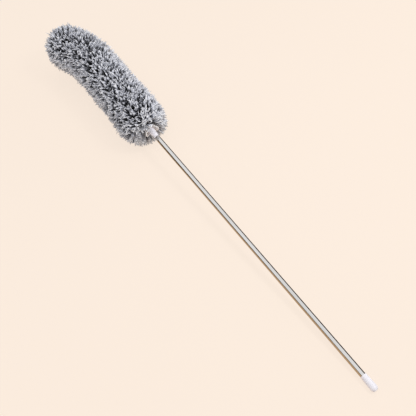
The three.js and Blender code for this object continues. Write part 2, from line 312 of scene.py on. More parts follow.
@dataclass(frozen=True)
class ZincWire(Finish):
    """Annealed steel wire with a thin zinc coat: dull, bluish and a little blotchy."""

    blotch: float = 4.0
    blotch_layers: float = 4.0
    gloss_spread: Pair = (0.8, 1.2)

    def pattern(self, tree: bpy.types.NodeTree) -> Inputs:
        """Zinc blotches vary the tone and the gloss.

        Args:
            tree: the node tree.

        Returns:
            What feeds the shader's inputs.
        """
        size = (self.blotch * 2, self.blotch, self.blotch)
        blotches = self.grain(tree, size, self.blotch_layers)
        return {
            "Base Color": add_node(tree, "ValToRGB", {"Fac": blotches}, self.tones()),
            "Roughness": add_node(tree, "MapRange", self.gloss(blotches)),
        }


@dataclass(frozen=True)
class Plastic(Finish):
    """Moulded or extruded plastic: even and softly glossy, with a fine grain."""

    # The mould's grain is near 0.2 mm; it is drawn at 0.9 mm so that it shows.
    grain_size: float = 0.9
    grain_depth: float = 0.01
    grain_strength: float = 0.2
    grain_layers: float = 1.0
    flow: float = 16.0

    def pattern(self, tree: bpy.types.NodeTree) -> Inputs:
        """Flow marks vary the tone, and the grain the gloss and the relief.

        Args:
            tree: the node tree.

        Returns:
            What feeds the shader's inputs.
        """
        marks = self.grain(tree, (self.flow, self.flow / 3, self.flow / 3))
        grain = self.grain(tree, (self.grain_size,) * 3, self.grain_layers)
        depth = self.grain_depth * MM
        raised = {"Height": grain, "Distance": depth, "Strength": self.grain_strength}
        return {
            "Base Color": add_node(tree, "ValToRGB", {"Fac": marks}, self.tones()),
            "Roughness": add_node(tree, "MapRange", self.gloss(grain)),
            "Normal": add_node(tree, "Bump", raised),
        }


@dataclass(frozen=True)
class WovenCloth(Finish):
    """Woven, knitted or twisted yarn: matt, with crossing threads that catch the light and painted
    shade in the dips between them.
    """

    # Threads are 0.35 mm apart; they are drawn at 0.9 mm so that they show.
    thread: float = 0.9
    thread_depth: float = 0.25
    thread_strength: float = 0.5
    thread_waver: float = 0.4
    # How high a thread is where it shows its full colour; lower down the weave is painted darker,
    # as shade in the dips.
    thread_top: float = 0.6
    sheen: float = 0.2
    sheen_roughness: float = 0.5
    # How much light passes through the cloth, how far, and which colours get furthest.
    glow: float = 0.0
    glow_reach: float = 2.0
    glow_colour: Place = (1.0, 0.95, 0.9)

    def pattern(self, tree: bpy.types.NodeTree) -> Inputs:
        """Threads run along and across the piece's own map, which is in millimetres.

        Args:
            tree: the node tree.

        Returns:
            What feeds the shader's inputs.
        """
        place = add_node(tree, "UVMap", uv_map=WEAVE_MAP)
        threads: Inputs = {}
        for i, way in enumerate(("X", "Y")):
            # A wave texture of scale 1 repeats every 0.1 pi.
            scale = math.pi / 10 / self.thread
            bands = {"Vector": place, "Scale": scale, "Distortion": self.thread_waver}
            threads[i] = add_node(tree, "TexWave", bands, bands_direction=way).outputs["Fac"]
        weave = add_node(tree, "Math", threads, operation="MULTIPLY")
        # Painted shade: the weave is darker in its dips than on the threads' tops.
        tones = ((0.0, self.shade), (self.thread_top, self.colour))
        depth = self.thread_depth * MM
        raised = {"Height": weave, "Distance": depth, "Strength": self.thread_strength}
        return {
            "Base Color": add_node(tree, "ValToRGB", {"Fac": weave}, tones),
            "Normal": add_node(tree, "Bump", raised),
            "Sheen Weight": self.sheen,
            "Sheen Roughness": self.sheen_roughness,
            "Subsurface Weight": self.glow,
            "Subsurface Radius": self.glow_colour,
            "Subsurface Scale": self.glow_reach * MM,
        }


@dataclass(frozen=True)
class MicrofibreYarn(Finish):
    """Split polyester yarn, cut into strands: soft, matt and pale, with painted shade that darkens
    it deep in the pile.
    """

    # Painted shade: colours of a strand by its height in the pile, near black at the roots to pale
    # at the tips.
    stops: Stops = (
        (0.0, "#030304"),
        (0.55, "#131315"),
        (0.72, "#54555b"),
        (0.83, "#cfd2de"),
        (0.9, "#f5f7ff"),
        (1.0, "#fafbff"),
    )
    twists: float = 60.0
    twist_depth: float = 0.2
    twist_strength: float = 0.4
    sheen: float = 0.7
    sheen_roughness: float = 0.4

    def pattern(self, tree: bpy.types.NodeTree) -> Inputs:
        """Each strand has a tone of its own, and painted shade that darkens it deep in the pile and
        fades towards the outside.

        Args:
            tree: the node tree.

        Returns:
            What feeds the shader's inputs.
        """
        height = add_node(tree, "Attribute", attribute_name="height").outputs["Fac"]
        tone = add_node(tree, "Attribute", attribute_name="tone").outputs["Fac"]
        # Painted shade: the deeper a point lies in the pile, the darker its colour.
        body = add_node(tree, "ValToRGB", {"Fac": height}, self.stops)
        dye = add_node(tree, "ValToRGB", {"Fac": tone}, ((0.0, self.shade), (1.0, self.colour)))
        both = {"Factor": 1.0, "A": body, "B": dye}
        turns = add_node(tree, "Math", {0: height, 1: self.twists}, operation="MULTIPLY")
        twist = add_node(tree, "Math", {0: turns}, operation="SINE")
        depth = self.twist_depth * MM
        raised = {"Height": twist, "Distance": depth, "Strength": self.twist_strength}
        return {
            "Base Color": add_node(tree, "Mix", both, data_type="RGBA", blend_type="MULTIPLY"),
            "Normal": add_node(tree, "Bump", raised),
            "Sheen Weight": self.sheen,
            "Sheen Roughness": self.sheen_roughness,
        }


@dataclass(frozen=True)
class StudioPaper(Finish):
    """Seamless studio paper: matt cream, with hardly any tooth."""

    own_light: float = 0.88
    near: float = 900.0
    far: float = 2400.0
    cloud: float = 600.0

    def pattern(self, tree: bpy.types.NodeTree) -> Inputs:
        """The paper's tone drifts a little.

        Args:
            tree: the node tree.

        Returns:
            What feeds the shader's inputs.
        """
        clouds = self.grain(tree, (self.cloud,) * 3)
        return {"Base Color": add_node(tree, "ValToRGB", {"Fac": clouds}, self.tones())}

    def surface(self, tree: bpy.types.NodeTree, shader: bpy.types.Node) -> bpy.types.Node:
        """The paper keeps a shadow, and fades into the backdrop far from the object.

        Args:
            tree: the node tree.
            shader: the paper as the lamps light it.

        Returns:
            The node that the material shows.
        """
        place = add_node(tree, "TexCoord").outputs["Object"]
        fading = {
            "Value": add_node(tree, "VectorMath", {0: place}, operation="LENGTH"),
            "From Min": self.near * MM,
            "From Max": self.far * MM,
            "To Min": self.own_light,
            "To Max": 1.0,
        }
        fade = add_node(tree, "MapRange", fading, interpolation_type="SMOOTHSTEP")
        share = add_node(tree, "Math", {0: fade, 1: seen_rays(tree)}, operation="MULTIPLY")
        plain = add_node(tree, "Emission", {"Color": linear(self.colour), "Strength": 1.0})
        paper = add_node(tree, "MixShader", {"Fac": share, 1: shader, 2: plain})
        # The paper's back is clear, so that a view from below still shows the object.
        back = add_node(tree, "NewGeometry").outputs["Backfacing"]
        clear = add_node(tree, "BsdfTransparent")
        return add_node(tree, "MixShader", {"Fac": back, 1: paper, 2: clear})


@dataclass(frozen=True)
class PaintedReflectionCard(Finish):
    """A card that glows at an even tone with faint roller marks, though it is no lamp: a painted
    reflection.
    """

    roller: float = 300.0

    def pattern(self, tree: bpy.types.NodeTree) -> Inputs:
        """The card glows at its own tone, however the lamps hang, to paint a reflection.

        Args:
            tree: the node tree.

        Returns:
            What feeds the shader's inputs.
        """
        marks = self.grain(tree, (self.roller, self.roller, self.roller * 3))
        return {
            "Base Color": linear("#000000"),
            "Specular IOR Level": 0.0,
            "Emission Color": add_node(tree, "ValToRGB", {"Fac": marks}, self.tones()),
            "Emission Strength": 1.0,
        }


# A clear mirror, which shows the cards' painted reflections as bright bands and dark lines along
# the tube.
STAINLESS = DrawnStainless(
    "polished drawn stainless steel", Slot.STEEL, "#e2e1e0", "#d6d5d4", 0.06, metallic=1.0
)
# Dull bluish grey with soft highlights.
WIRE_STEEL = ZincWire(
    "zinc-coated soft steel wire", Slot.WIRE, "#a9acb0", "#7d8084", 0.42, metallic=1.0
)
# White with a touch of lavender, and a satin gloss.
POLYPROPYLENE = Plastic(
    "moulded white polypropylene", Slot.WHITE, "#eeecf4", "#e7e5ed", 0.38, ior=1.49
)
# Smooth and grey, with long streaks from the die.
PVC = Plastic("extruded grey PVC", Slot.HOSE, "#b9bcc0", "#a4a7ab", 0.35, ior=1.53, flow=40.0)
# Ivory and waxy.
ACETAL = Plastic("moulded natural acetal", Slot.SLEEVE, "#eae6da", "#ddd8ca", 0.3, ior=1.48)
# White and matt; so thin that the light shines through it.
HEM_TAPE = WovenCloth(
    "woven polyester hem tape", Slot.HEM, "#fdfafa", "#f4f0f0", 0.85, glow=1.0
)
# Off-white and matt, with the twist of its plies.
TIE_YARN = WovenCloth("twisted cotton tie", Slot.HEM, "#e6e2e0", "#c9c5c6", 0.9, thread=0.7)
# Dark grey ribs at the bottom of the pile.
BACKING_KNIT = WovenCloth(
    "knitted grey polyester backing", Slot.YARN, "#5a5b60", "#2c2d30", 0.9, thread=1.6
)
# Pale grey tips over dark gaps, which are painted shade from the depth ramp and the dull sunken
# tufts.
YARN = MicrofibreYarn("cut microfibre yarn", Slot.YARN, "#ffffff", "#77787e", 0.85)
# Plain and cream, with a soft shadow.
PAPER = StudioPaper("matt cream studio paper", None, "#fbecde", "#f7e7d8", 0.9)
# Cards that glow at even tones, for the tube to mirror as painted reflections.
TAN_CARD = PaintedReflectionCard("tan painted card", None, "#cfae8a", "#c29f79", 0.9)
DARK_TAN_CARD = PaintedReflectionCard("dark tan painted card", None, "#a3845f", "#957550", 0.9)
BROWN_CARD = PaintedReflectionCard("brown painted card", None, "#41362e", "#372d26", 0.9)
WHITE_CARD = PaintedReflectionCard("white painted card", None, "#ffffff", "#fafafa", 0.9)


def new_object(
    name: str, points: np.ndarray, faces: np.ndarray, finish: Finish
) -> bpy.types.Object:
    """Makes a smooth-shaded mesh object with its finish.

    Args:
        name: the object's name.
        points: (n, 3) places in millimetres.
        faces: (m, 3) or (m, 4) point numbers.
        finish: its finish.

    Returns:
        The object, in metres.
    """
    mesh = bpy.data.meshes.new(name)
    mesh.vertices.add(len(points))
    mesh.vertices.foreach_set("co", (points * MM).astype(np.float32).ravel())
    mesh.loops.add(faces.size)
    mesh.loops.foreach_set("vertex_index", faces.astype(np.int32).ravel())
    mesh.polygons.add(len(faces))
    starts = np.arange(0, faces.size, faces.shape[1], dtype=np.int32)
    mesh.polygons.foreach_set("loop_start", starts)
    mesh.polygons.foreach_set("use_smooth", np.ones(len(faces), bool))
    mesh.update(calc_edges=True)
    mesh.materials.append(finish.material())
    made = bpy.data.objects.new(name, mesh)
    bpy.context.scene.collection.objects.link(made)
    return made


def new_piece(
    name: str,
    points: np.ndarray,
    faces: np.ndarray,
    finish: Finish,
    maps: Mapping[str, np.ndarray] | None = None,
) -> bpy.types.Object:
    """Makes a closed piece of the duster with its faces pointing out.

    Args:
        name: the piece's name.
        points: (n, 3) places in millimetres.
        faces: (m, 3) or (m, 4) point numbers.
        finish: its finish.
        maps: for each UV map's name, the places of each face's corners.

    Returns:
        The piece.
    """
    corner = points[faces]
    volume = 0.0
    for i in range(1, faces.shape[1] - 1):
        volume += np.sum(corner[:, 0] * np.cross(corner[:, i], corner[:, i + 1]))
    turn = slice(None, None, -1 if volume < 0 else 1)
    piece = new_object(name, points, faces[:, turn], finish)
    for key, places in (maps or {}).items():
        layer = piece.data.uv_layers.new(name=key)
        layer.data.foreach_set("uv", places[:, turn].astype(np.float32).ravel())
    return piece


def ring_angles(sides: int) -> np.ndarray:
    """The angles of a ring's points."""
    return np.arange(sides) * 2 * math.pi / sides


def ring_faces(count: int, sides: int) -> np.ndarray:
    """Faces that join rings into a closed surface, the last ring to the first.

    Args:
        count: how many rings there are.
        sides: how many points a ring has.

    Returns:
        (n, 4) point numbers.
    """
    row = np.arange(count)[:, None]
    column = np.arange(sides)[None, :]
    ahead, beside = (row + 1) % count, (column + 1) % sides
    corners = [
        row * sides + column,
        ahead * sides + column,
        ahead * sides + beside,
        row * sides + beside,
    ]
    return np.stack(corners, -1).reshape(-1, 4)


def rod_triangles(count: int, sides: int, pointed: bool) -> np.ndarray:
    """Triangles of a rod made of rings.

    Args:
        count: how many rings there are.
        sides: how many points a ring has.
        pointed: whether the rod ends in one more point after its last ring, or is closed there.

    Returns:
        (n, 3) point numbers.
    """
    last = (count - 1) * sides
    found = [(0, k + 1, k) for k in range(1, sides - 1)]
    for k in range(sides):
        beside = (k + 1) % sides
        for ring in range(0, last, sides):
            a, b = ring + k, ring + beside
            found += [(a, b, b + sides), (a, b + sides, a + sides)]
        if pointed:
            found.append((last + k, last + beside, last + sides))
    if not pointed:
        found += [(last, last + k, last + k + 1) for k in range(1, sides - 1)]
    return np.array(found)


def ring_map(rings: np.ndarray) -> np.ndarray:
    """A map in millimetres of joined rings: round them and along them.

    Args:
        rings: (rings, sides, 3) places.

    Returns:
        The places of the corners of the faces that ring_faces gives.
    """
    count, sides = rings.shape[:2]
    steps = np.linalg.norm(np.roll(rings, -1, 0) - rings, axis=2).mean(1)
    along = np.concatenate([[0.0], np.cumsum(steps)])
    girth = np.linalg.norm(np.roll(rings, -1, 1) - rings, axis=2).sum(1).mean()
    row = np.repeat(np.arange(count), sides)
    column = np.tile(np.arange(sides), count)
    u = np.stack([column, column, column + 1, column + 1], -1) / sides * girth
    v = np.stack([along[row], along[row + 1], along[row + 1], along[row]], -1)
    return np.stack([u, v], -1)


def unit(vectors: np.ndarray) -> np.ndarray:
    """The vectors at length 1."""
    return vectors / np.linalg.norm(vectors, axis=-1, keepdims=True)


def smooth_copy(node: str, finish: Finish) -> bpy.types.Object:
    """Shows a CAD node as a welded copy whose round faces are shaded smooth.

    Args:
        node: the CAD node's name.
        finish: the copy's finish.

    Returns:
        The copy, which rides with the node's body and replaces it.
    """
    source = frame["nodes"][node]
    mesh = source.data
    places = np.zeros(len(mesh.vertices) * 3)
    mesh.vertices.foreach_get("co", places)
    places = places.reshape(-1, 3)
    corners = np.zeros(len(mesh.loops), np.int32)
    mesh.loops.foreach_get("vertex_index", corners)
    rounded = np.round(places, WELD_DIGITS)
    _, first, same = np.unique(rounded, axis=0, return_index=True, return_inverse=True)
    faces = same.ravel()[corners].reshape(-1, 3)
    piece = new_piece(node + "_smooth", places[first] / MM, faces, finish)
    piece.data.set_sharp_from_angle(angle=SHARP_ANGLE)
    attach(piece, source["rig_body"])
    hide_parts(node)
    return piece


@dataclass
class Pole:
    """The telescoping pole: three tubes, two friction sleeves and the domed end cap."""

    tubes: tuple[str, ...] = ("outer_tube", "middle_tube", "inner_tube")
    sleeves: tuple[str, ...] = ("middle_friction_sleeve", "inner_friction_sleeve")
    # The dome is a little rounder than on the CAD node, as in the photograph.
    foot_radius: float = 2.0
    dome_length: float = 6.2
    dome_radius: float = 6.2
    body_end: float = 24.0
    body_radius: float = 5.75
    neck_radius: float = 5.55
    cap_length: float = 29.0
    bore_radius: float = 5.1
    bore_floor: float = 5.0
    rounding: float = 0.15
    sides: int = 64
    dome_steps: int = 14

    def build(self) -> list[bpy.types.Object]:
        """Makes the pole's pieces.

        Returns:
            The pieces.
        """
        made = [smooth_copy(tube, STAINLESS) for tube in self.tubes]
        made += [smooth_copy(sleeve, ACETAL) for sleeve in self.sleeves]
        return made + [self.cap()]

    def cap(self) -> bpy.types.Object:
        """Turns the end cap: a flat foot, a dome, a tapered body, a neck and a bore for the tube.

        Returns:
            The cap.
        """
        rise = self.dome_radius - self.foot_radius
        dome = []
        for turn in np.linspace(0, math.pi / 2, self.dome_steps):
            along = self.dome_length * (1 - math.cos(turn))
            dome.append((along, self.foot_radius + rise * math.sin(turn)))
        edge = self.rounding
        outline = dome + [
            (self.body_end - edge, self.body_radius),
            (self.body_end, self.body_radius - edge / 2),
            (self.body_end, self.neck_radius),
            (self.cap_length - edge, self.neck_radius),
            (self.cap_length, self.neck_radius - edge),
            (self.cap_length, self.bore_radius + edge),
            (self.cap_length - edge, self.bore_radius),
            (self.bore_floor, self.bore_radius),
        ]
        phi = ring_angles(self.sides)
        round_once = np.stack([0 * phi, np.cos(phi), np.sin(phi)], -1)
        rings = [np.array([x, 0.0, 0.0]) + r * round_once for x, r in outline]
        triangles = rod_triangles(len(rings), self.sides, pointed=False)
        piece = new_piece("end_cap_turned", np.concatenate(rings), triangles, POLYPROPYLENE)
        piece.data.set_sharp_from_angle(angle=SHARP_ANGLE)
        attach(piece, frame["nodes"]["end_cap"]["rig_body"])
        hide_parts("end_cap")
        return piece


@dataclass
class CoreLine:
    """The head's middle line: straight from the collar, then an arc towards +Y."""

    bend_start: float = 824.7
    bend_length: float = 103.0
    bend_angle: float = 0.46

    def frame(self, s: np.ndarray) -> tuple[np.ndarray, np.ndarray, np.ndarray]:
        """Places and directions along the line.

        Args:
            s: distances along the line, where s is x on the straight part.

        Returns:
            The places, the directions ahead and the directions aside, towards +Y.
        """
        s = np.asarray(s, float)
        radius = self.bend_length / self.bend_angle
        turn = np.clip((s - self.bend_start) / radius, 0, self.bend_angle)
        past = np.clip(s - self.bend_start - self.bend_length, 0, None)
        before = s - radius * turn - past
        flat = np.zeros_like(s)
        ahead = np.stack([np.cos(turn), np.sin(turn), flat], -1)
        aside = np.stack([-np.sin(turn), np.cos(turn), flat], -1)
        arc = np.stack([before + radius * np.sin(turn), radius * (1 - np.cos(turn)), flat], -1)
        return arc + past[..., None] * ahead, ahead, aside

    def around(self, s: np.ndarray, radius: np.ndarray, phi: np.ndarray) -> np.ndarray:
        """Places round the line.

        Args:
            s: distances along the line.
            radius: distances from it.
            phi: angles round it, from +Y to +Z.

        Returns:
            The places, in millimetres.
        """
        centre, _, aside = self.frame(s)
        up = np.array([0.0, 0.0, 1.0])
        radius, phi = np.asarray(radius)[..., None], np.asarray(phi)[..., None]
        return centre + radius * (np.cos(phi) * aside + np.sin(phi) * up)


@dataclass
class CollarAssembly:
    """The collar with its pin, and the sewn hem cuff that is tied on it."""

    core: CoreLine
    # The cuff's middle surface: seated on the stub, turned out over the cone, open at its mouth.
    seat_end: float = 640.0
    seat_start: float = 634.2
    seat_radius: float = 7.0
    turn_at: float = 633.0
    turn_radius: float = 8.4
    turn_share: float = 0.28
    seat_part: float = 0.8
    mouth_at: float = 618.4
    mouth_dip: float = 6.5
    mouth_wide: float = 13.2
    mouth_narrow: float = 9.2
    wide_at: float = 3.05
    lip_flare: float = 1.6
    lip_growth: int = 6
    # The cloth with its folded edge.
    cloth: float = 0.9
    edge_fold: float = 0.35
    edge_share: float = 0.95
    edge_width: float = 0.05
    # Its frills: large waves and small ones between them, which grow towards the mouth.
    frills: int = 7
    frill_start: float = 0.6
    small_frills: int = 5
    small_start: float = 2.1
    small_height: float = 0.5
    frill_height: float = 0.55
    frill_growth: float = 1.6
    frill_along: float = 0.8
    frill_out: float = 0.5
    sides: int = 120
    steps: int = 24
    # The tie round the seat, of two plies.
    tie_at: float = 637.1
    tie_radius: float = 8.55
    ply_radius: float = 0.44
    ply_offset: float = 0.36
    tie_turns: int = 26
    tie_steps: int = 10
    ply_sides: int = 8
    # The stitches along the mouth.
    stitch_count: int = 44
    stitch_share: float = 0.9
    stitch_length: float = 0.72
    stitch_rise: float = 0.2
    stitch_dip: float = 0.6
    stitch_radius: float = 0.17
    stitch_sides: int = 6
    stitch_steps: int = 7

    def build(self) -> list[bpy.types.Object]:
        """Makes the collar, its pin, the cuff, its stitching and its tie.

        Returns:
            The pieces.
        """
        collar = smooth_copy("collar", POLYPROPYLENE)
        pin = smooth_copy("collar_pin", WIRE_STEEL)
        cuff, stitches = self.cuff(), self.stitching()
        return [collar, pin, cuff, stitches, self.tie()]

    def frill(self, share: np.ndarray, phi: np.ndarray) -> tuple[np.ndarray, np.ndarray]:
        """The cuff's middle surface.

        Args:
            share: 0 at the seat's far end to 1 at the cuff's mouth.
            phi: angles round the collar.

        Returns:
            Distances along the core and from it.
        """
        knots = (0.0, self.turn_share * self.seat_part, self.turn_share)
        seat_s = np.interp(share, knots, (self.seat_end, self.seat_start, self.turn_at))
        seat_r = np.interp(share, knots, (self.seat_radius, self.seat_radius, self.turn_radius))
        loose = np.clip((share - self.turn_share) / (1 - self.turn_share), 0, 1)
        lobe = np.cos(phi - self.wide_at) ** 2
        mouth_s = self.mouth_at + self.mouth_dip * (1 - lobe)
        mouth_r = self.mouth_narrow + (self.mouth_wide - self.mouth_narrow) * lobe
        small = self.small_height * np.sin(self.small_frills * phi + self.small_start)
        wave = np.sin(self.frills * phi + self.frill_start) + small
        ruffle = self.frill_height * loose**self.frill_growth * wave
        s = seat_s + (mouth_s - self.turn_at) * loose + ruffle * self.frill_along
        # The cloth opens at once and then runs on almost straight.
        opened = 1 - (1 - loose) ** 2
        r = seat_r + (mouth_r - self.turn_radius) * opened + ruffle * self.frill_out
        return s, r + self.lip_flare * lobe * loose**self.lip_growth

    def over_cloth(self, share: np.ndarray, phi: np.ndarray, height: np.ndarray) -> np.ndarray:
        """Places above or below the cuff's middle surface.

        Args:
            share: 0 at the seat's far end to 1 at the cuff's mouth.
            phi: angles round the collar.
            height: distances outwards from the surface.

        Returns:
            The places, in millimetres.
        """
        step = 0.01
        s, r = self.frill(share, phi)
        before = self.frill(share - step, phi)
        after = self.frill(share + step, phi)
        along, out = after[0] - before[0], after[1] - before[1]
        whole = np.hypot(along, out)
        return self.core.around(s + height * out / whole, r - height * along / whole, phi)

    def cuff(self) -> bpy.types.Object:
        """Makes the hem: seated on the stub, open over the cone, with a folded edge.

        Returns:
            The cuff.
        """
        there = np.linspace(0, 1, self.steps)
        share = np.concatenate([there, there[::-1]])
        side = np.repeat([0.5, -0.5], self.steps)
        fold = self.edge_fold * np.exp(-(((share - self.edge_share) / self.edge_width) ** 2))
        phi = ring_angles(self.sides)
        grid = np.broadcast_to(phi, (len(share), self.sides))
        height = (side * (self.cloth + 2 * fold))[:, None]
        rings = self.over_cloth(share[:, None], grid, height)
        faces = ring_faces(len(share), self.sides)
        maps = {WEAVE_MAP: ring_map(rings)}
        piece = new_piece("hem_cuff_cloth", rings.reshape(-1, 3), faces, HEM_TAPE, maps)
        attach(piece, Body.ROOT.value)
        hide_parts("hem_cuff")
        return piece

    def stitching(self) -> bpy.types.Object:
        """Makes the row of stitches that holds the cuff's folded edge.

        Returns:
            The stitches, as one piece.
        """
        bow = np.linspace(-0.5, 0.5, self.stitch_steps)
        pitch = 2 * math.pi / self.stitch_count
        phi = (np.arange(self.stitch_count)[:, None] + bow * self.stitch_length) * pitch
        # A stitch dips into the cloth at both ends.
        arch = (1 + self.stitch_dip) * np.cos(math.pi * bow) - self.stitch_dip
        lift = self.stitch_rise * arch
        height = np.broadcast_to(self.cloth / 2 + self.edge_fold / 2 + lift, phi.shape)
        line = self.over_cloth(np.full(phi.shape, self.stitch_share), phi, height)
        ahead = unit(np.gradient(line, axis=1))
        across = unit(np.cross(ahead, np.array([1.0, 0.0, 0.0])))
        rise = np.cross(ahead, across)
        angle = ring_angles(self.stitch_sides)[:, None]
        aside = np.cos(angle) * across[:, :, None] + np.sin(angle) * rise[:, :, None]
        points = line[:, :, None] + self.stitch_radius * aside
        each = self.stitch_steps * self.stitch_sides
        one = rod_triangles(self.stitch_steps, self.stitch_sides, pointed=False)
        faces = (np.arange(self.stitch_count) * each)[:, None, None] + one
        places, faces = points.reshape(-1, 3), faces.reshape(-1, 3)
        maps = {WEAVE_MAP: places[faces][:, :, 1:]}
        piece = new_piece("hem_stitching", places, faces, TIE_YARN, maps)
        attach(piece, Body.ROOT.value)
        return piece

    def tie(self) -> bpy.types.Object:
        """Makes the two-ply cord that is drawn round the hem.

        Returns:
            The tie.
        """
        steps = self.tie_turns * self.tie_steps
        phi = ring_angles(steps)[:, None]
        around = ring_angles(self.ply_sides)
        points, faces = [], []
        for ply in range(2):
            turn = self.tie_turns * phi + ply * math.pi
            s = self.tie_at + self.ply_offset * np.cos(turn) + self.ply_radius * np.cos(around)
            r = self.tie_radius + self.ply_offset * np.sin(turn) + self.ply_radius * np.sin(around)
            points.append(self.core.around(s, r, np.broadcast_to(phi, s.shape)).reshape(-1, 3))
            faces.append(ring_faces(steps, self.ply_sides) + ply * steps * self.ply_sides)
        places, corners = np.concatenate(points), np.concatenate(faces)
        at = places[corners]
        around_tie = np.arctan2(at[..., 2], at[..., 1]) * self.tie_radius
        maps = {WEAVE_MAP: np.stack([around_tie, at[..., 0]], -1)}
        piece = new_piece("hem_tie_cord", places, corners, TIE_YARN, maps)
        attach(piece, Body.ROOT.value)
        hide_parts("hem_tie")
        return piece


@dataclass
class BendableCore:
    """The soft wires, the hose round them and the rounded cap on its end."""

    segments: int = 4

    def build(self) -> list[bpy.types.Object]:
        """Makes the core's pieces.

        Returns:
            The pieces.
        """
        made = []
        for i in range(1, self.segments + 1):
            made.append(smooth_copy(f"upper_wire_{i}", WIRE_STEEL))
            made.append(smooth_copy(f"lower_wire_{i}", WIRE_STEEL))
            made.append(smooth_copy(f"hose_{i}", PVC))
        return made + [smooth_copy("tip_cap", POLYPROPYLENE)]


@dataclass
class Stretch:
    """A stretch of the washable sleeve between two places on the core."""

    name: str
    start: float
    end: float
    bodies: tuple[Body, ...]
    stands_for: tuple[str, ...]
    rests_on: tuple[str, ...]


@dataclass
class Swell:
    """A place where the pile stands out more, or less, than round and even."""

    at: float
    reach: float
    side: float
    rise: float


@dataclass
class Strands:
    """Strands of yarn, one to a row of each array.

    A strand has its points, the way that each point faces the light, the height in the pile of each
    point, from 0 at the bottom to 1 at the outside, which sets its painted shade, its tone, dulled
    as painted shade on sunken tufts, and its root's place on the core.
    """

    points: np.ndarray
    facing: np.ndarray
    height: np.ndarray
    tone: np.ndarray
    root_s: np.ndarray

    def between(self, start: float, end: float) -> "Strands":
        """The strands whose roots lie between two places on the core.

        Args:
            start: the first place.
            end: the second.

        Returns:
            Those strands.
        """
        rows = (self.root_s >= start) & (self.root_s < end)
        arrays = (self.points, self.facing, self.height, self.tone, self.root_s)
        return Strands(*(array[rows] for array in arrays))


